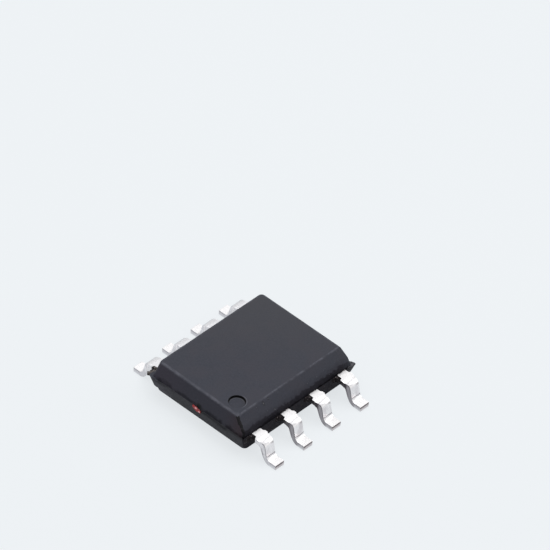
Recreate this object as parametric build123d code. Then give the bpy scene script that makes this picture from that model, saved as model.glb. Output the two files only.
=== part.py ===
from build123d import *
import math
import os

# A power transistor in an eight-lead small-outline package, in millimetres.
# Origin: centre of the body in plan, on the plane that the feet stand on.
# X runs along the body, leads 1 to 4 are on the -Y side and 5 to 8 on the +Y side.

# Leads and the strip that they are stamped from
lead_pitch = 1.27
leads_per_side = 4
strip_thickness = 0.17
root_width = 0.36
lead_width = 0.38

# Gull-wing shape: the foot length brings the span over the feet to 6.06
shoulder_length = 0.55
riser_angle = 13.5
foot_length = 0.354
bend_radius_inside = 0.14

# Sheared stubs of the bar that held the leads while the body was moulded. The punch ran
# off its middle, so the -X side kept more, further out, and tapers off round the bend.
stub_gap = 0.14
stub_length = 0.19
stub_slope = 0.05
stub_proud = 0.045
uncut_offset = 0.05
uncut_proud = 0.1
uncut_taper = 0.16

# Moulded body: its two halves meet on the top of the strip
standoff = 0.18
lower_height = 0.64
upper_height = 0.58
body_width = 3.94
body_end_margin = 0.565
lower_end_draft = 17.5
lower_side_draft = 8.0
upper_end_draft = 13.0
upper_side_draft = 10.0
corner_radius = 0.15
rim_corner_radius = 0.05
edge_radius = 0.04
bevel_size = 0.42

# The upper half is a little smaller than the lower and sits off its centre
upper_inset = 0.04
mismatch_x = -0.04
mismatch_y = -0.03

# Marks of the mould: the lead 1 dimple on top and two ejector marks below
dimple_diameter = 0.54
dimple_depth = 0.075
dimple_inset_x = 0.485
dimple_inset_y = 0.46
ejector_diameter = 0.9
ejector_depth = 0.025
ejector_spacing = 2.6

# Die pad, set down below the leads, and the bar that joins it to leads 5 to 8
pad_end_cover = 0.62
pad_gap = 0.22
pad_downset = 0.15
pad_bend_radius = 0.1
pad_corner_radius = 0.12
bar_width = 0.25
bar_cover = 0.27

# Tie bars that carried the pad at both ends of the body
tie_bar_width = 0.33
tie_bar_slope_length = 0.2
tie_bar_proud = 0.02

# Bonding shelves at the inner ends of the source and gate leads
shelf_width = 0.45
shelf_cover = 0.25
shelf_corner_radius = 0.08
gate_shelf_length = 0.66

# Die and the solder under it
die_length = 2.3
die_width = 1.5
die_thickness = 0.2
solder_thickness = 0.02
solder_margin = 0.05

# Bonds from the die to the shelves: flat ribbons for the source, a round wire for the gate
ribbon_count = 2
ribbon_width = 0.5
ribbon_thickness = 0.1
ribbon_inset = 0.35
gate_wire_diameter = 0.1
gate_wire_flattening = 0.3
gate_corner_length = 0.81
gate_bond_inset = 0.2
bond_length = 0.3
bond_loop_rise = 0.24
bond_bend_radius = 0.12
die_bond_offset = 0.35

parting_height = standoff + lower_height
total_height = parting_height + upper_height
half_strip = strip_thickness / 2
strip_centre = parting_height - half_strip
mean_bend_radius = bend_radius_inside + half_strip
row_half = (leads_per_side - 1) / 2 * lead_pitch
lead_places = [lead_pitch * i - row_half for i in range(leads_per_side)]
body_length = 2 * (row_half + body_end_margin)
wall = body_width / 2

shelf_outer_edge = wall - shelf_cover
shelf_inner_edge = shelf_outer_edge - shelf_width
shelf_middle = (shelf_outer_edge + shelf_inner_edge) / 2
bar_outer_edge = wall - bar_cover
bar_inner_edge = bar_outer_edge - bar_width
pad_near_edge = pad_gap - shelf_inner_edge
pad_far_edge = bar_inner_edge - pad_downset
pad_length = body_length - 2 * pad_end_cover
pad_centre = strip_centre - pad_downset
pad_top = pad_centre + half_strip

die_centre_y = (pad_near_edge + pad_far_edge) / 2
die_bottom = pad_top + solder_thickness
die_top = die_bottom + die_thickness


def drafted_half(length, width, height, end_draft, side_draft):
    """A mould half that grows up or down from the parting plane, its walls leaning in."""
    lean_end = abs(height) * math.tan(math.radians(end_draft))
    lean_side = abs(height) * math.tan(math.radians(side_draft))
    root = RectangleRounded(length, width, rim_corner_radius)
    tip = RectangleRounded(length - 2 * lean_end, width - 2 * lean_side, corner_radius)
    return loft([root, Pos(0, 0, height) * tip], ruled=True)


def upper_half():
    """The upper half, with the bevel along leads 1 to 4, its rounded rim and the dimple."""
    length = body_length - 2 * upper_inset
    width = body_width - 2 * upper_inset
    half = drafted_half(length, width, upper_height, upper_end_draft, upper_side_draft)
    bevel_edge = bevel_size - width / 2
    bevel = Polyline(
        (0, bevel_edge, upper_height),
        (0, bevel_edge - width, upper_height - width),
        (0, bevel_edge - width, upper_height),
        close=True,
    )
    half -= extrude(make_face(bevel), amount=length, both=True)
    half = fillet(half.edges().group_by(Axis.Z)[-1], edge_radius)
    top_end = length / 2 - upper_height * math.tan(math.radians(upper_end_draft))
    dimple = Cylinder(dimple_diameter / 2, 2 * dimple_depth)
    dimple_place = Pos(dimple_inset_x - top_end, bevel_edge + dimple_inset_y, upper_height)
    return half - dimple_place * dimple


def moulded_outline():
    """The epoxy body as it leaves the mould, with nothing taken out for what it holds."""
    lower = drafted_half(body_length, body_width, -lower_height, lower_end_draft, lower_side_draft)
    for side in (-1, 1):
        mark = Cylinder(ejector_diameter / 2, 2 * ejector_depth)
        lower -= Pos(side * ejector_spacing / 2, 0, -lower_height) * mark
    return Pos(0, 0, parting_height) * (lower + Pos(mismatch_x, mismatch_y) * upper_half())


def bent_strip(inner_points, inner_radii):
    """The bent strip on the +Y side, as wide as the body, before it is cut to its outline."""
    slope = math.tan(math.radians(riser_angle))
    shoulder = wall + shoulder_length
    toe = shoulder + (parting_height - strip_thickness) * slope + foot_length
    shoulder_middle = shoulder - half_strip * math.tan(math.radians((90 - riser_angle) / 2))
    path = FilletPolyline(
        *inner_points,
        (0, shoulder_middle, strip_centre),
        (0, shoulder_middle + (strip_centre - half_strip) * slope, half_strip),
        (0, toe, half_strip),
        radius=[*inner_radii, mean_bend_radius, mean_bend_radius],
    )
    section = Plane(path @ 0, x_dir=(1, 0, 0), z_dir=path % 0)
    return sweep(section * Rectangle(body_length, strip_thickness), path=path)


def lead_outline(place, inner_edge):
    """Plan of one lead: narrow root, sheared stub of the dam bar, then full width."""
    half_root = root_width / 2
    half_lead = lead_width / 2
    stub_start = wall + stub_gap
    stub_end = stub_start + stub_length
    cut_side = [
        (place + half_root, inner_edge),
        (place + half_root, stub_start),
        (place + half_root + stub_proud, stub_start + stub_slope),
        (place + half_root + stub_proud, stub_end - stub_slope),
        (place + half_lead, stub_end),
        (place + half_lead, 2 * body_width),
    ]
    uncut_side = [
        (place - half_lead, 2 * body_width),
        (place - half_lead, stub_end + uncut_offset + uncut_taper),
        (place - half_root - uncut_proud, stub_end + uncut_offset),
        (place - half_root - uncut_proud, stub_start + uncut_offset + stub_slope),
        (place - half_root, stub_start + uncut_offset),
        (place - half_root, inner_edge),
    ]
    return make_face(Polyline(*cut_side, *uncut_side, close=True))


def plan_rectangle(left, right, near, far, radius):
    middle = Pos((left + right) / 2, (near + far) / 2)
    return middle * RectangleRounded(right - left, far - near, radius)


def stamped(blank, outline):
    """What is left of a bent blank inside its plan outline."""
    return blank & extrude(outline, amount=total_height, both=True)


def tie_bar(side):
    """Bar from one end of the pad, bent up to the strip level and sheared at the body."""
    pad_end = pad_length / 2
    path = FilletPolyline(
        (side * (pad_end - tie_bar_slope_length), 0, pad_centre),
        (side * pad_end, 0, pad_centre),
        (side * (pad_end + tie_bar_slope_length), 0, strip_centre),
        (side * (body_length / 2 + tie_bar_proud), 0, strip_centre),
        radius=pad_bend_radius,
    )
    section = Plane(path @ 0, x_dir=(0, 1, 0), z_dir=path % 0)
    return sweep(section * Rectangle(tie_bar_width, strip_thickness), path=path)


def drain_side():
    """Die pad in one piece with leads 5 to 8 and both tie bars."""
    blank = bent_strip(
        [
            (0, pad_near_edge, pad_centre),
            (0, pad_far_edge, pad_centre),
            (0, bar_inner_edge, strip_centre),
        ],
        [pad_bend_radius, pad_bend_radius],
    )
    pad_half = pad_length / 2
    bar_half = row_half + root_width / 2
    outline = plan_rectangle(
        -pad_half, pad_half, pad_near_edge, bar_outer_edge, pad_corner_radius
    )
    outline += plan_rectangle(
        -bar_half, bar_half, bar_inner_edge, bar_outer_edge, shelf_corner_radius
    )
    for place in lead_places:
        outline += lead_outline(place, bar_inner_edge + shelf_corner_radius)
    frame = stamped(blank, outline)
    for side in (-1, 1):
        frame += tie_bar(side)
    return frame


def shelf_leads(places, left, right):
    """Leads on the -Y side that end inside the body in one shelf for bond wires."""
    blank = bent_strip([(0, shelf_inner_edge, strip_centre)], [])
    outline = plan_rectangle(
        left, right, shelf_inner_edge, shelf_outer_edge, shelf_corner_radius
    )
    for place in places:
        outline += lead_outline(place, shelf_outer_edge - shelf_corner_radius)
    return mirror(stamped(blank, outline), about=Plane.XZ)


def bond_path(die_x, shelf_x, lift):
    """Path of a bond from the die to a shelf: flat at both ends, looped over the die's edge."""
    start = Vector(die_x, die_centre_y - die_bond_offset)
    run = Vector(shelf_x, -shelf_middle) - start
    half_bond = bond_length / 2
    loop = die_top + bond_loop_rise
    upright = Plane(start, x_dir=run, z_dir=run.cross(Vector(0, 0, 1)))
    return upright * FilletPolyline(
        (-half_bond, die_top + lift),
        (half_bond, die_top + lift),
        (half_bond + loop - die_top, loop),
        (run.length - half_bond - loop + parting_height, loop),
        (run.length - half_bond, parting_height + lift),
        (run.length + half_bond, parting_height + lift),
        radius=bond_bend_radius,
    )


def source_ribbon(place):
    """Flat ribbon that lies on the die and on the source shelf."""
    path = bond_path(place, place, ribbon_thickness / 2)
    section = Plane(path @ 0, x_dir=(1, 0, 0), z_dir=path % 0)
    return sweep(section * Rectangle(ribbon_width, ribbon_thickness), path=path)


def gate_wire(place):
    """Round wire to the gate shelf, pressed flat where it is bonded at both ends."""
    radius = gate_wire_diameter / 2
    path = bond_path(
        die_length / 2 - gate_bond_inset, place, radius * (1 - gate_wire_flattening)
    )
    return sweep(Plane(path @ 0, z_dir=path % 0) * Circle(radius), path=path)


def spread(first, last, count):
    step = (last - first) / max(count - 1, 1)
    return [first + step * i for i in range(count)]


def main():
    source_places = lead_places[:-1]
    gate_place = lead_places[-1]
    shelf_left = source_places[0] - root_width / 2
    shelf_right = source_places[-1] + root_width / 2
    gate_half = gate_shelf_length / 2

    pieces = {}
    pieces["drain_frame"] = drain_side()
    pieces["source_frame"] = shelf_leads(source_places, shelf_left, shelf_right)
    pieces["gate_lead"] = shelf_leads([gate_place], gate_place - gate_half, gate_place + gate_half)
    pieces["die_solder"] = Pos(0, die_centre_y, pad_top + solder_thickness / 2) * Box(
        die_length + 2 * solder_margin, die_width + 2 * solder_margin, solder_thickness
    )
    pieces["transistor_die"] = Pos(0, die_centre_y, die_bottom + die_thickness / 2) * Box(
        die_length, die_width, die_thickness
    )
    ribbon_places = spread(
        ribbon_inset - die_length / 2,
        die_length / 2 - gate_corner_length - ribbon_inset,
        ribbon_count,
    )
    for number, place in enumerate(ribbon_places, start=1):
        pieces[f"source_ribbon_{number}"] = source_ribbon(place)
    wire = gate_wire(gate_place) - pieces["transistor_die"]
    pieces["gate_wire"] = wire - pieces["gate_lead"]

    body = moulded_outline()
    for piece in pieces.values():
        body -= piece
    pieces["mould_body"] = body

    os.makedirs("parts", exist_ok=True)
    for name, piece in pieces.items():
        export_step(piece, f"parts/{name}.step")


main()
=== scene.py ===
import math

import bpy
from mathutils import Matrix, Vector


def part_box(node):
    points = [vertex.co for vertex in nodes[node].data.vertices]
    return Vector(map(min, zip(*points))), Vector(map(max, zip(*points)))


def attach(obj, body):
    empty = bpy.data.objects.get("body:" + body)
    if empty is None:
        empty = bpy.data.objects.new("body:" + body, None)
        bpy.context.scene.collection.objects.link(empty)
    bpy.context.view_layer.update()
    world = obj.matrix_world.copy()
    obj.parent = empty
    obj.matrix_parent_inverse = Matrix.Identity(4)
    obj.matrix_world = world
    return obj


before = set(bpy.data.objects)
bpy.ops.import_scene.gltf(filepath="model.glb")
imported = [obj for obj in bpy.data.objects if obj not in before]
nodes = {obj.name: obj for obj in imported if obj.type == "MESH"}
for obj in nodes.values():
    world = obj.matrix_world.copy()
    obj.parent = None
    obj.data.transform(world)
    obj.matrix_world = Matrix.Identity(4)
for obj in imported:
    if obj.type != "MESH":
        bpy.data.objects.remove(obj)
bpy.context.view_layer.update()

MM = 0.001

# Camera, fitted to the lead pitch in the photograph: degrees and millimetres
camera_azimuth = -49.16
camera_elevation = 43.17
camera_distance = 237.3
camera_aim = Vector((4.32, 3.08, 0))
camera_roll = 4.28
camera_lens = 502.4

# Places that the materials use, in millimetres, read from the frame
body_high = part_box("mould_body")[1] / MM
frame_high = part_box("drain_frame")[1] / MM
end_x = body_high.x
wall_y = body_high.y
top_z = body_high.z
toe_y = frame_high.y
parting_z = frame_high.z
flat_tolerance = 0.001
top_points = [
    vertex.co / MM for vertex in nodes["mould_body"].data.vertices
    if vertex.co.z / MM > top_z - flat_tolerance
]
top_left = min(point.x for point in top_points)
top_right = max(point.x for point in top_points)
top_near = min(point.y for point in top_points)
top_far = max(point.y for point in top_points)

# Sizes of the leads, in millimetres, as in the CAD; the upper bend is measured on its outside
lead_pitch = 1.27
lead_places = [lead_pitch * (i - 1.5) for i in range(4)]
root_half_width = 0.18
strip_thickness = 0.17
riser_angle = math.radians(13.5)
bend_radius = 0.31
bend_centre_y = 2.276
bend_centre_z = parting_z - bend_radius

# Places on the body, in millimetres and degrees: the walls of its upper half, and its dimple
upper_end_draft = math.radians(13)
upper_near_y = -1.95
dimple_x = -1.851
dimple_y = -1.08
dimple_radius = 0.27

# The pale room: sRGB colours of the floor as it is plainly seen and as it lights the part,
# the share of its seen colour that glows, its half width in metres, and the surround's light
floor_colour = (238, 242, 245)
floor_bounce = (150, 152, 154)
floor_glow = 0.82
floor_half_width = 1.0
surround_strength = 0.35


def srgb(red, green, blue):
    """Linear colour for an sRGB colour given as 0 to 255."""
    def linear(value):
        value /= 255
        return value / 12.92 if value <= 0.04045 else ((value + 0.055) / 1.055) ** 2.4
    return (linear(red), linear(green), linear(blue), 1)


class Value:
    """A number or colour that a material's nodes work out at each point, for use in sums."""

    def __init__(self, graph, socket):
        self.graph = graph
        self.socket = socket

    def __add__(self, other):
        return self.graph.math("ADD", self, other)

    def __sub__(self, other):
        return self.graph.math("SUBTRACT", self, other)

    def __rsub__(self, other):
        return self.graph.math("SUBTRACT", other, self)

    def __mul__(self, other):
        return self.graph.math("MULTIPLY", self, other)

    def __truediv__(self, other):
        return self.graph.math("DIVIDE", self, other)

    def __mod__(self, other):
        return self.graph.math("FLOORED_MODULO", self, other)

    def __abs__(self):
        return self.graph.math("ABSOLUTE", self)

    def step(self, low, high, out_low=0.0, out_high=1.0):
        """Smooth step from out_low to out_high while the value goes from low to high."""
        made = self.graph.node("ShaderNodeMapRange", interpolation_type="SMOOTHSTEP")
        self.graph.feed(self, made.inputs["Value"])
        made.inputs["From Min"].default_value = low
        made.inputs["From Max"].default_value = high
        made.inputs["To Min"].default_value = out_low
        made.inputs["To Max"].default_value = out_high
        return Value(self.graph, made.outputs["Result"])

    def fall(self, low, high):
        """Smooth step down, from 1 to 0."""
        return self.step(low, high, 1, 0)

    def band(self, centre, half_width, softness):
        """1 within half_width of the centre, falling to 0 over the softness."""
        return abs(self - centre).fall(half_width, half_width + softness)

    def spread(self, out_low=0.0, out_high=1.0):
        """A noise, whose values mostly lie from 0.3 to 0.7, spread over a range."""
        return self.step(0.3, 0.7, out_low, out_high)

    def ragged(self, noise, amount):
        """The value pushed to and fro by a noise, by up to that amount."""
        return self + noise.spread(-amount, amount)


def highest(first, *others):
    for other in others:
        first = first.graph.math("MAXIMUM", first, other)
    return first


def lowest(first, second):
    return first.graph.math("MINIMUM", first, second)


def length(first, second):
    """How long a line is that goes so far along one axis and so far along another."""
    return first.graph.math("SQRT", first * first + second * second)


class Graph:
    """A material's node tree: x, y and z are a point's place in millimetres, reach is |y|."""

    def __init__(self, name):
        self.material = bpy.data.materials.new(name)
        self.material.use_nodes = True
        self.tree = self.material.node_tree
        self.shader = self.tree.nodes["Principled BSDF"]
        scaled = self.node("ShaderNodeVectorMath", operation="SCALE")
        self.link(self.node("ShaderNodeTexCoord").outputs["Object"], scaled.inputs[0])
        scaled.inputs["Scale"].default_value = 1 / MM
        self.place = scaled.outputs[0]
        self.x, self.y, self.z = self.split(self.place)
        self.reach = abs(self.y)

    def node(self, kind, **settings):
        made = self.tree.nodes.new(kind)
        for key, value in settings.items():
            setattr(made, key, value)
        return made

    def link(self, source, target):
        self.tree.links.new(source, target)

    def feed(self, value, target):
        """Links a worked-out value to a socket, or sets a plain number or colour on it."""
        if isinstance(value, Value):
            self.link(value.socket, target)
        else:
            target.default_value = value

    def split(self, vector):
        parts = self.node("ShaderNodeSeparateXYZ")
        self.link(vector, parts.inputs[0])
        return [Value(self, part) for part in parts.outputs]

    def math(self, operation, first, second=0.0):
        made = self.node("ShaderNodeMath", operation=operation)
        self.feed(first, made.inputs[0])
        self.feed(second, made.inputs[1])
        return Value(self, made.outputs[0])

    def noise(self, scale, detail=3, roughness=0.55, stretch=None):
        """Fractal noise with about that many cells a millimetre."""
        made = self.node("ShaderNodeTexNoise")
        made.inputs["Scale"].default_value = scale
        made.inputs["Detail"].default_value = detail
        made.inputs["Roughness"].default_value = roughness
        place = self.place
        if stretch:
            mapping = self.node("ShaderNodeMapping")
            mapping.inputs["Scale"].default_value = stretch
            self.link(place, mapping.inputs["Vector"])
            place = mapping.outputs[0]
        self.link(place, made.inputs["Vector"])
        return Value(self, made.outputs["Fac"])

    def facing(self, axis):
        """How far the surface faces along X, Y or Z, either way, from 0 to 1."""
        normal = self.node("ShaderNodeNewGeometry").outputs["True Normal"]
        return abs(self.split(normal)["XYZ".index(axis)])

    def paint(self, base, *layers):
        """The base colour, with each layer's colour laid over it as far as its mask says."""
        for mask, colour in layers:
            made = self.node("ShaderNodeMix", data_type="RGBA")
            self.feed(mask, made.inputs[0])
            self.feed(base, made.inputs[6])
            self.feed(colour, made.inputs[7])
            base = Value(self, made.outputs[2])
        return base

    def bump(self, height, distance):
        """Bump of that height in millimetres."""
        made = self.node("ShaderNodeBump")
        made.inputs["Distance"].default_value = distance * MM
        self.feed(height, made.inputs["Height"])
        self.link(made.outputs[0], self.shader.inputs["Normal"])

    def set(self, **values):
        for key, value in values.items():
            self.feed(value, self.shader.inputs[key.replace("_", " ")])


def end_colour(graph, lower):
    """The end faces, warmer toward the near corner and darker below the parting line."""
    return graph.paint(
        srgb(63, 53, 60),
        (graph.y.step(-1.9, -1.0), srgb(62, 62, 72)),
        (graph.y.step(0.2, 1.5), srgb(66, 63, 74)),
        (lower, srgb(46, 46, 53)),
    )


def pale_far_corner(graph):
    """A pale patch low on the -X end, near its far corner."""
    along = graph.y.step(1.05, 1.6) * graph.y.fall(1.75, 1.88)
    return along * graph.z.fall(0.6, 0.76) * graph.x.fall(-2.2, -2.1)


def worn_and_lit_edges(graph, scuffs, upper):
    """Lighter top edges, partly wear and partly painted highlight: a thin line, with wider patches on the
    -X edge and a pale near corner.
    """
    from_left = graph.x - top_left
    from_near = graph.y - top_near
    across = lowest(from_left, top_right - graph.x)
    along = lowest(from_near, top_far - graph.y)
    line = lowest(across, along).band(0, 0.01, 0.04)
    line = line * graph.noise(4.5).step(0.4, 0.62, 0.1, 0.85)
    corner = length(from_left, from_near).step(0.06, 0.2, 0.55, 0)
    patch = from_left.band(0.02, 0.03, 0.05) * scuffs.step(0.45, 0.62, 0.35, 0.95)
    return highest(line, corner, patch) * upper


def shaded_walls(graph, wobble, extent):
    """Painted shade on the steep walls along the leads: dark above the roots, lumpy below the parting
    line.
    """
    # Painted shade: a band above the roots and the walls below the parting line; the lumps are paler chips
    # in it
    edge = graph.reach.ragged(wobble, 0.03)
    fade = edge.step(wall_y - 0.22, wall_y - 0.08, 0, 0.35)
    above = highest(fade, edge.step(wall_y - 0.11, wall_y - 0.04)) * graph.x.step(1.9, 2.3, 1, 0.35)
    below = graph.reach.step(1.78, 1.86) * graph.z.fall(parting_z - 0.02, parting_z)
    lumps = below * graph.noise(9).step(0.5, 0.68, 0, 0.8)
    wall_shade = highest(above, below) * wobble.spread(1, 0.85) * extent
    return wall_shade, graph.paint(srgb(26, 24, 31), (lumps, srgb(58, 51, 54)))


def corner_shade_line(graph, wobble):
    """Painted line of shade down the corner between the -X end and the bevelled side."""
    end_gap = graph.x + end_x - (graph.z - parting_z) * math.tan(upper_end_draft)
    bevel_y = graph.z - (top_z - top_near)
    side_gap = graph.y - highest(bevel_y, upper_near_y)
    line = end_gap.ragged(wobble, 0.02).fall(0.05, 0.085)
    line = line * side_gap.ragged(wobble, -0.03).fall(0.045, 0.09)
    return line * graph.z.fall(top_z - 0.025, top_z - 0.005) * graph.z.step(parting_z - 0.1, parting_z)


def parting_line_and_shade(graph, wobble, patches, scuffs, end_face):
    """Parting line, smeared and a little wavy, dark partly as a joint and partly as painted shadow, with a
    soft band of painted shade round it on the ends.
    """
    y = graph.y
    seam_z = graph.z.ragged(wobble, 0.016)
    # A dark line, partly a joint and partly painted shadow
    line = seam_z.band(parting_z, 0.012, 0.035) * patches.step(0.35, 0.6, 1, 0.6)
    line = line * (1 - end_face * 0.85)
    smear = seam_z.band(parting_z + 0.03, 0.03, 0.08) * scuffs.step(0.45, 0.62, 0.1, 0.5)
    # Painted shade: a soft, wandering band round the parting line on the ends
    wander_z = seam_z + graph.noise(2.4, detail=2).step(0.35, 0.65, -0.06, 0.06)
    dip = y.step(-1.4, -1.0) * y.step(-0.7, -0.2, 0.1, 0)
    belt_z = wander_z - y.step(-0.4, 0.4, 0, 0.06) + dip
    shade_belt = belt_z.step(parting_z - 0.3, parting_z - 0.03) * wander_z.fall(parting_z, parting_z + 0.15)
    return highest(line, smear, shade_belt * y.step(-0.4, 0.4, 0.62, 0.5) * end_face)


def copper_stain(graph):
    """A dark stain above the copper end of the tie bar."""
    stain_y = -0.07
    stain_z = 0.88
    stain = length(graph.y - stain_y, graph.z - stain_z).step(0.05, 0.15, 0.7, 0)
    return stain * graph.x.fall(-2.3, -2.2)


def knocks(graph, wobble):
    """Three small knocks in the bevel, each a pale spot with a dark rim."""
    layers = []
    for knock_x, knock_y, size in ((-1.25, -1.63, 0.035), (-0.98, -1.88, 0.02), (-1.02, -1.6, 0.018)):
        distance = length(graph.x - knock_x, graph.y - knock_y) * wobble.spread(0.8, 1.3)
        layers.append((distance.step(size, size * 2.2, 0.55, 0), srgb(24, 24, 26)))
        layers.append((distance.step(size * 0.4, size, 0.8, 0), srgb(96, 96, 100)))
    return layers


def dimple(graph, upper):
    """Dimple: its inside painted black with shade except on its near side, with a painted gleam and a
    painted highlight on one side of its rim.
    """
    # Direction across the dimple, from its near side, which the painted shade leaves open, to its far side
    away_x = 0.76
    away_y = 0.65

    from_x = graph.x - dimple_x
    from_y = graph.y - dimple_y
    radial = length(from_x, from_y)
    away = from_x * away_x + from_y * away_y
    aside = from_x * away_y - from_y * away_x
    # Painted shade in the dimple, a painted gleam inside it, and a painted highlight on one side of its
    # rim
    wall_shade = radial.band(dimple_radius - 0.006, 0.01, 0.008) * away.step(-0.24, -0.1, 0.3, 1)
    gleam = radial.band(dimple_radius - 0.04, 0.008, 0.02) * away.step(0, 0.15, 0, 0.45)
    lip_highlight = radial.band(dimple_radius + 0.035, 0.003, 0.012) * aside.step(0.12, 0.24, 0, 0.7)
    return [
        (wall_shade * graph.z.step(top_z - 0.12, top_z - 0.1), srgb(9, 9, 11)),
        (gleam * graph.z.fall(top_z - 0.06, top_z - 0.05), srgb(92, 93, 98)),
        (lip_highlight * upper, srgb(98, 99, 106)),
    ]


def rough_resin(graph):
    """Rough resin left beside the root of lead 1, below the parting line."""
    beside = graph.x.step(-2.36, -2.28) * graph.x.fall(-2.05, -1.95) * graph.y.fall(-1.86, -1.84)
    under = graph.z.step(0.42, 0.5) * graph.z.fall(parting_z - 0.02, parting_z)
    broken = graph.noise(13, detail=2).step(0.53, 0.62)
    return beside * under, graph.paint(srgb(12, 11, 14), (broken, srgb(118, 116, 120)))


def epoxy():
    """Moulded compound: grainy, lighter along the top edges from wear and painted highlight, with painted
    shade along the lead rows.
    """
    graph = Graph("epoxy")
    grain = graph.noise(16, detail=4, roughness=0.7)
    patches = graph.noise(1.3, detail=2)
    wobble = graph.noise(7)
    scuffs = graph.noise(2.6)
    specks = graph.noise(19, detail=1).step(0.75, 0.78, 0, 0.6)
    upper = graph.z.step(top_z - 0.06, top_z - 0.03)
    lower = graph.z.fall(parting_z - 0.12, parting_z)
    end_face = graph.facing("X").step(0.8, 0.9)

    # The painted shade of the walls and of the parting line stops short of every corner but the one by
    # lead 1
    toward_lead_5 = graph.x + graph.y
    open_corner = graph.reach.step(1.6, 1.75) * abs(graph.x).step(2.2, 2.3) * toward_lead_5.step(-3, -2)
    wall_shade, wall_shade_colour = shaded_walls(graph, wobble, (1 - end_face) * (1 - open_corner))
    seam_and_shade = parting_line_and_shade(graph, wobble, patches, scuffs, end_face) * (1 - open_corner)

    base = graph.paint(
        srgb(51, 53, 62),
        (grain.spread(), srgb(58, 60, 69)),
        (patches.step(0.35, 0.65, 0, 0.35), srgb(62, 60, 67)),
        (toward_lead_5.step(-1.5, 4.0, 0, 0.5), srgb(68, 68, 71)),
        (end_face, end_colour(graph, lower)),
        (pale_far_corner(graph), srgb(90, 89, 97)),
        # Top edges lighter, partly from wear and partly as a painted highlight
        (worn_and_lit_edges(graph, scuffs, upper), srgb(82, 83, 92)),
        # Painted shade on the walls along the leads, with paler lumps below the parting line
        (wall_shade, wall_shade_colour),
        # Painted line of shade down the -X near corner
        (corner_shade_line(graph, wobble), srgb(8, 7, 10)),
        # Parting line: partly a dark joint, partly painted shadow, with painted shade round it on the ends
        (seam_and_shade, srgb(14, 13, 16)),
        (copper_stain(graph), srgb(22, 26, 22)),
        *knocks(graph, wobble),
        *dimple(graph, upper),
        rough_resin(graph),
        (specks * graph.z.fall(top_z - 0.05, top_z - 0.02), srgb(104, 106, 112)),
    )
    graph.set(
        Base_Color=base,
        Roughness=grain.step(0.2, 0.8, 0.5, 0.62) + wall_shade * 0.25,
        Specular_IOR_Level=seam_and_shade.step(0, 0.8, 0.15, 0.03) * (1 - end_face * lower * 0.2),
    )
    graph.bump(grain, 0.006)
    return graph.material


def tool_marks(graph, grain, smears, near):
    """The risers: a wiped front and dirt from the bending tool, painted shade along their lower fold, and
    a grey tick.
    """
    crease_z = 0.285
    bend_z = 0.745
    tick_z = 0.655
    dirt_z = 0.245
    front = graph.facing("Y").step(0.5, 0.7) * graph.z.fall(0.665, 0.69) * graph.z.step(0.25, 0.265)
    # Painted shade along the fold between riser and foot
    crease_shade = graph.z.ragged(smears, 0.012).band(crease_z, 0.006, 0.01)
    crease_shade = crease_shade * grain.step(0.3, 0.5, 0.5, 1) * graph.reach.step(2.5, 2.55)
    over_bend = graph.z.band(bend_z, 0.035, 0.03) * graph.reach.step(2.28, 2.36)
    right_of_middle = (graph.x % lead_pitch - lead_pitch / 2).step(0.02, 0.15, 0, 0.6)
    # A grey tick right of the middle of the near risers, just under the upper bend
    grey_tick = graph.z.band(tick_z, 0.012, 0.03) * right_of_middle * near
    dirt = graph.noise(30, detail=1).step(0.6, 0.66) * graph.z.band(dirt_z, 0.015, 0.02)
    return [
        (front, graph.paint(srgb(238, 236, 237), (smears.step(0.35, 0.7), srgb(214, 210, 212)))),
        (crease_shade, srgb(108, 100, 104)),
        (over_bend, srgb(216, 215, 217)),
        (grey_tick, srgb(150, 146, 148)),
        (dirt, srgb(150, 140, 146)),
    ]


def shear_lines(graph, near):
    """Dark lines that the shear left along both edges of the sides of the risers."""
    riser_top_y = bend_centre_y + bend_radius * math.cos(riser_angle)
    riser_top_z = bend_centre_z + bend_radius * math.sin(riser_angle)
    riser_y = riser_top_y - (graph.z - riser_top_z) * math.tan(riser_angle)
    riser_depth = (riser_y - graph.reach) * math.cos(riser_angle)
    bend_depth = bend_radius - length(graph.reach - bend_centre_y, graph.z - bend_centre_z)
    depth = riser_depth + graph.z.step(0.575, 0.59) * (bend_depth - riser_depth)
    edges = highest(depth.band(0.02, 0.014, 0.014), depth.band(strip_thickness - 0.02, 0.006, 0.02))
    return edges * graph.reach.step(2.4, 2.48) * graph.z.step(0.24, 0.32, 0.2, 1) * near


def sheared_side(graph, streaks, near):
    """Sheared sides of the leads: streaked, with painted shade between the leads and under their bends."""
    # Painted shade on the sides of the near leads that face their neighbours, deepest under their bends
    between = graph.x.step(-2.0, -1.95) * near
    shaded = graph.paint(
        srgb(155, 152, 156),
        (graph.reach.step(2.68, 2.9), srgb(190, 188, 191)),
        (streaks.step(0.35, 0.65, 0, 0.5), srgb(138, 134, 138)),
    )
    shade_under_bend = graph.reach.fall(2.4, 2.47) * between * graph.x.step(-0.7, -0.2, 0.75, 1)
    on_foot = graph.reach.step(2.72, 2.8)
    foot_edge = graph.z.band(strip_thickness - 0.03, 0.01, 0.014) * on_foot
    return graph.paint(
        srgb(206, 204, 207),
        (streaks.spread(), srgb(236, 234, 236)),
        (graph.z.step(0.2, 0.3, 0.8, 0), srgb(200, 198, 202)),
        # Painted shade between the near leads, and deeper painted shade under their bends
        (between, shaded),
        (shade_under_bend, srgb(66, 62, 66)),
        (shear_lines(graph, near) * 0.6, srgb(96, 90, 94)),
        # Painted reflection of the floor along the bottom of the feet's sides
        (graph.z.step(0.01, 0.08, 0.7, 0) * on_foot, srgb(232, 232, 234)),
        (foot_edge * 0.5, srgb(112, 108, 112)),
    )


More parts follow.
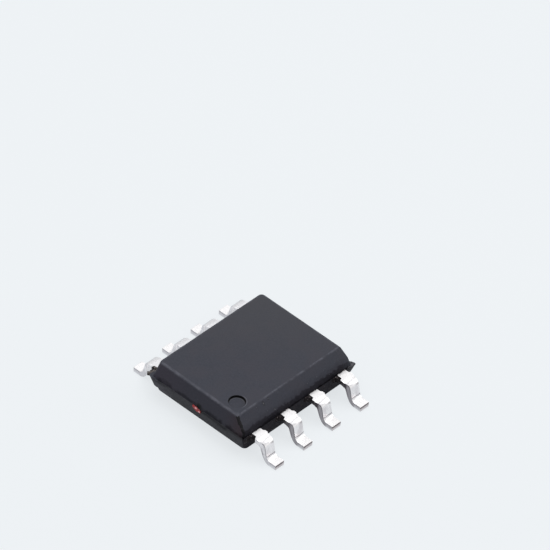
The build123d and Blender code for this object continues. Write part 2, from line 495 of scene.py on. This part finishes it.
def torn_toe(graph, grain, streaks):
    """Toe: cut last, with a dark line under its top edge, partly burred metal and partly painted shadow
    under the burred edge.
    """
    # Dark line under the top edge: partly burred metal, partly painted shadow
    burr_and_shadow = graph.z.band(strip_thickness - 0.033, 0.017, 0.014) * streaks.step(0.3, 0.6, 1, 0.85)
    return graph.paint(
        srgb(238, 231, 234),
        (grain.step(0.35, 0.65), srgb(252, 247, 249)),
        (graph.z.step(0.03, 0.1), srgb(206, 198, 200)),
        (burr_and_shadow, srgb(40, 30, 30)),
    )


def copper_end(graph):
    """Copper end of the tie bar: a leaning oval with two painted highlights, its rim hidden by resin."""
    middle_y = -0.01
    middle_z = graph.y.step(-0.2, 0.2, 0.715, 0.78)
    half_width = 0.165
    half_height = 0.08
    oval = length((graph.y - middle_y) / half_width, (graph.z - middle_z) / half_height)
    oval = oval.ragged(graph.noise(9, detail=2), 0.2)
    layers = [(oval.step(0.4, 0.9), srgb(178, 44, 46))]
    # Two painted highlights on the copper
    for highlight_y, highlight_z, size in ((0.02, 0.765, 0.034), (-0.12, 0.7, 0.028)):
        highlight = length((graph.y - highlight_y) * 0.7, graph.z - highlight_z)
        layers.append((highlight.fall(size * 0.5, size * 1.4), srgb(255, 196, 200)))
    layers.append((oval.step(0.95, 1.05), srgb(34, 30, 32)))
    return graph.paint(srgb(160, 40, 46), *layers)


def resin_on_roots(graph, side, end):
    """Resin over the roots, along their sheared sides and round the tie bars' ends."""
    edge = graph.reach.ragged(graph.noise(13), 0.015)
    over = edge.fall(1.978, 1.99)
    beside = (edge + graph.y.step(0, 0.1) * 0.13).fall(2.17, 2.21) * side
    roots = highest(over, beside) * graph.reach.step(1.8, 1.85)
    tie_bars = abs(graph.x).step(2.3, 2.35) * graph.reach.fall(0.3, 0.4)
    return highest(roots, tie_bars * (1 - end))


def tin():
    """Bright tin on copper: duller on the sheared sides, with painted shade, highlights and reflections in
    places, and moulding resin at the roots.
    """
    graph = Graph("bright_tin")
    grain = graph.noise(24)
    smears = graph.noise(6, stretch=(1, 1, 0.4))
    streaks = graph.noise(9, stretch=(6, 1, 0.6))
    near = graph.y.fall(-0.1, 0)
    far_shoulder_shade = graph.y.step(0, 0.1) * graph.z.step(0.5, 0.7)
    side = graph.facing("X").step(0.5, 0.8)
    toe = graph.reach.step(toe_y - 0.012, toe_y - 0.004)
    end = abs(graph.x).step(end_x - 0.03, end_x - 0.01)
    resin = resin_on_roots(graph, side, end)
    flecks = graph.noise(15, detail=2).step(0.58, 0.66)
    base = graph.paint(
        srgb(228, 227, 228),
        (grain.spread(), srgb(233, 232, 233)),
        # Painted shade on the shoulders of the far leads
        (far_shoulder_shade, srgb(216, 216, 219)),
        *tool_marks(graph, grain, smears, near),
        (side, sheared_side(graph, streaks, near)),
        (toe, torn_toe(graph, grain, streaks)),
        (end, copper_end(graph)),
        (resin, graph.paint(srgb(36, 34, 37), (flecks, srgb(140, 132, 136)))),
    )

    # Flat tops are satin, the rest reflects more clearly, resin and bare copper hardly at all
    flat = graph.facing("Z").step(0.8, 0.97) * grain.step(0.2, 0.8, 0.45, 0.55)
    dull = highest(flat, highest(toe, end) * 0.65, resin)
    graph.set(
        Base_Color=base,
        Metallic=1 - dull,
        Roughness=grain.step(0.2, 0.8, 0.2, 0.28) + dull * 0.25,
    )
    graph.bump(grain, 0.0015)
    return graph.material


def plain_metal(name, colour, roughness):
    """An even metal with faint dark grain."""
    graph = Graph(name)
    grain = graph.noise(30)
    dark_grey = (0.2, 0.2, 0.2, 1)
    graph.set(
        Base_Color=graph.paint(colour, (grain.spread(0, 0.2), dark_grey)),
        Metallic=1.0,
        Roughness=grain.step(0.2, 0.8, roughness - 0.05, roughness + 0.05),
    )
    return graph.material


def silicon():
    """Polished silicon, faintly mottled."""
    graph = Graph("silicon")
    mottle = graph.noise(20).spread()
    graph.set(
        Base_Color=graph.paint(srgb(120, 124, 132), (mottle, srgb(136, 140, 148))),
        Roughness=0.25,
    )
    return graph.material


def flash_resin(name, dark, pale, specks=0.7):
    """Rough resin squeezed out of the mould, with pale broken specks."""
    graph = Graph(name)
    lumps = graph.noise(12)
    base = graph.paint(
        dark,
        (lumps.step(0.38, 0.6), pale),
        (lumps.step(0.6, 0.66, 0, specks), srgb(134, 128, 130)),
    )
    graph.set(Base_Color=base, Roughness=0.7, Specular_IOR_Level=0.15)
    graph.bump(lumps, 0.01)
    return graph.material


def make_flash(name, outline, low, high, material, taper=1.0):
    """A ragged scrap of resin at the parting line: a plan outline, drawn in at its lower height."""
    count = len(outline)
    corners = [(x * MM * taper, y * MM * taper, low * MM) for x, y in outline]
    corners += [(x * MM, y * MM, high * MM) for x, y in outline]
    faces = [list(range(count))[::-1], list(range(count, 2 * count))]
    for i in range(count):
        following = (i + 1) % count
        faces.append([i, following, following + count, i + count])
    mesh = bpy.data.meshes.new(name)
    mesh.from_pydata(corners, [], faces)
    mesh.materials.append(material)
    piece = bpy.data.objects.new(name, mesh)
    bpy.context.scene.collection.objects.link(piece)
    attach(piece, "root")


def dress(node, material, rounding):
    """Gives a CAD node its material and softens its sharp edges by that many millimetres."""
    piece = nodes[node]
    piece.data.materials.clear()
    piece.data.materials.append(material)
    if rounding:
        weld = piece.modifiers.new("join_faces", "WELD")
        weld.merge_threshold = 0.0001 * MM
        bevel = piece.modifiers.new("soft_edges", "BEVEL")
        bevel.width = rounding * MM
        bevel.segments = 3
        bevel.limit_method = "ANGLE"
        bevel.angle_limit = math.radians(30)


def dress_parts(compound):
    """Gives every CAD node its material."""
    dress("mould_body", compound, rounding=0.015)
    tinned = tin()
    for name in ("drain_frame", "source_frame", "gate_lead"):
        dress(name, tinned, rounding=0.03)
    dress("die_solder", plain_metal("solder", srgb(170, 172, 175), roughness=0.45), rounding=0)
    dress("transistor_die", silicon(), rounding=0)
    aluminium = plain_metal("bond_aluminium", srgb(215, 217, 220), roughness=0.3)
    for name in ("source_ribbon_1", "source_ribbon_2", "gate_wire"):
        dress(name, aluminium, rounding=0)


def add_root_webs():
    """A torn web of resin on the -X side of each near root, longer from lead to lead."""
    resin = flash_resin("root_resin", srgb(22, 19, 22), srgb(48, 42, 44))
    web = [
        (0.01, 0.15), (-0.05, 0.08), (-0.08, 0.1), (-0.11, 0.03), (-0.16, 0.05), (-0.19, 0.0), (-0.02, 0.0)
    ]
    for number, place in enumerate(lead_places, start=1):
        growth = 1 + 0.1 * number
        outline = [(place - root_half_width + dx, upper_near_y - dy * growth) for dx, dy in web]
        make_flash("root_flash_%d" % number, outline, low=0.62, high=0.79, material=resin)


def add_far_web():
    """The torn web of resin beside the root of lead 8."""
    resin = flash_resin("far_resin", srgb(44, 39, 39), srgb(100, 94, 92))
    outline = [
        (-2.06, 1.94), (-2.07, 2.1), (-2.13, 2.16), (-2.18, 2.08), (-2.24, 2.06), (-2.3, 2.15),
        (-2.37, 2.12), (-2.42, 2.17), (-2.47, 2.12), (-2.43, 2.05), (-2.46, 1.94)
    ]
    make_flash("root_flash_8", outline, low=0.7, high=0.8, material=resin)


def add_corner_ledges(compound):
    """Ledges of flash at the body's far left and near right corners."""
    left = [
        (-2.46, 1.3), (-2.5, 1.6), (-2.53, 1.88), (-2.52, 1.98),
        (-2.43, 2.02), (-2.3, 2.0), (-2.2, 1.96), (-2.3, 1.3)
    ]
    top = parting_z + 0.01
    make_flash("corner_flash_left", left, low=0.4, high=top, material=compound, taper=0.948)
    resin = flash_resin("ledge_resin", srgb(56, 56, 60), srgb(84, 84, 89), specks=0.3)
    right = [
        (2.3, -1.75), (2.3, -1.9), (2.2, -1.97), (2.3, -2.01),
        (2.44, -2.03), (2.52, -2.02), (2.53, -1.96), (2.49, -1.84)
    ]
    top = parting_z + 0.006
    make_flash("corner_flash_right", right, low=0.5, high=top, material=resin, taper=0.955)


def plainly_seen(tree):
    """1 for the rays by which the background is seen, straight, in metal or through glass."""
    rays = tree.nodes.new("ShaderNodeLightPath")
    seen = rays.outputs["Is Camera Ray"]
    for other in ("Is Glossy Ray", "Is Transmission Ray"):
        either = tree.nodes.new("ShaderNodeMath")
        either.operation = "MAXIMUM"
        tree.links.new(seen, either.inputs[0])
        tree.links.new(rays.outputs[other], either.inputs[1])
        seen = either.outputs[0]
    return seen


def floor_material():
    """A pale floor whose own colour lifts the shadow on it where it is plainly seen."""
    material = bpy.data.materials.new("floor")
    material.use_nodes = True
    tree = material.node_tree
    shader = tree.nodes["Principled BSDF"]
    shader.inputs["Roughness"].default_value = 1
    shader.inputs["Specular IOR Level"].default_value = 0
    shader.inputs["Emission Strength"].default_value = 1
    seen = plainly_seen(tree)
    black = (0, 0, 0, 1)
    shares = (
        ("Base Color", srgb(*floor_bounce), 1 - floor_glow),
        ("Emission Color", black, floor_glow),
    )
    for socket, hidden, share in shares:
        colour = tree.nodes.new("ShaderNodeMix")
        colour.data_type = "RGBA"
        colour.inputs[6].default_value = hidden
        colour.inputs[7].default_value = [share * part for part in srgb(*floor_colour)[:3]] + [1]
        tree.links.new(seen, colour.inputs[0])
        tree.links.new(colour.outputs[2], shader.inputs[socket])
    return material


def make_floor():
    half = floor_half_width
    corners = [(-half, -half, 0), (half, -half, 0), (half, half, 0), (-half, half, 0)]
    mesh = bpy.data.meshes.new("floor")
    mesh.from_pydata(corners, [], [(0, 1, 2, 3)])
    mesh.materials.append(floor_material())
    floor = bpy.data.objects.new("floor", mesh)
    bpy.context.scene.collection.objects.link(floor)


def make_world():
    """An even pale surround that lights at its own strength and is plainly seen as white."""
    world = bpy.data.worlds.new("studio")
    world.use_nodes = True
    tree = world.node_tree
    background = tree.nodes["Background"]
    background.inputs["Color"].default_value = (1, 1, 1, 1)
    level = tree.nodes.new("ShaderNodeMapRange")
    level.inputs["To Min"].default_value = surround_strength
    level.inputs["To Max"].default_value = 1
    tree.links.new(plainly_seen(tree), level.inputs["Value"])
    tree.links.new(level.outputs["Result"], background.inputs["Strength"])
    bpy.context.scene.world = world


def make_lamp(name, place, size, radiance):
    """A square lamp in millimetres that shines on the middle of the body."""
    lamp = bpy.data.lights.new(name, "AREA")
    lamp.size = size * MM
    lamp.energy = radiance * math.pi * lamp.size ** 2
    made = bpy.data.objects.new(name, lamp)
    bpy.context.scene.collection.objects.link(made)
    made.location = Vector(place) * MM
    made.rotation_euler = Vector(place).to_track_quat("Z", "Y").to_euler()


def make_camera():
    azimuth = math.radians(camera_azimuth)
    elevation = math.radians(camera_elevation)
    place = camera_distance * Vector((
        math.sin(azimuth) * math.cos(elevation),
        -math.cos(azimuth) * math.cos(elevation),
        math.sin(elevation),
    ))
    data = bpy.data.cameras.new("camera")
    data.lens = camera_lens
    data.clip_start = 0.01
    camera = bpy.data.objects.new("camera", data)
    bpy.context.scene.collection.objects.link(camera)
    turn = (camera_aim - place).to_track_quat("-Z", "Y").to_matrix().to_4x4()
    roll = Matrix.Rotation(math.radians(camera_roll), 4, "Z")
    camera.matrix_world = Matrix.Translation(place * MM) @ turn @ roll
    bpy.context.scene.camera = camera


compound = epoxy()
dress_parts(compound)
add_root_webs()
add_far_web()
add_corner_ledges(compound)

make_floor()
make_world()
make_lamp("overhead", place=(10, 10, 100), size=100, radiance=2.6)
make_lamp("front_right", place=(90, -70, 60), size=70, radiance=1.3)
make_camera()
bpy.context.scene.view_settings.view_transform = "Standard"
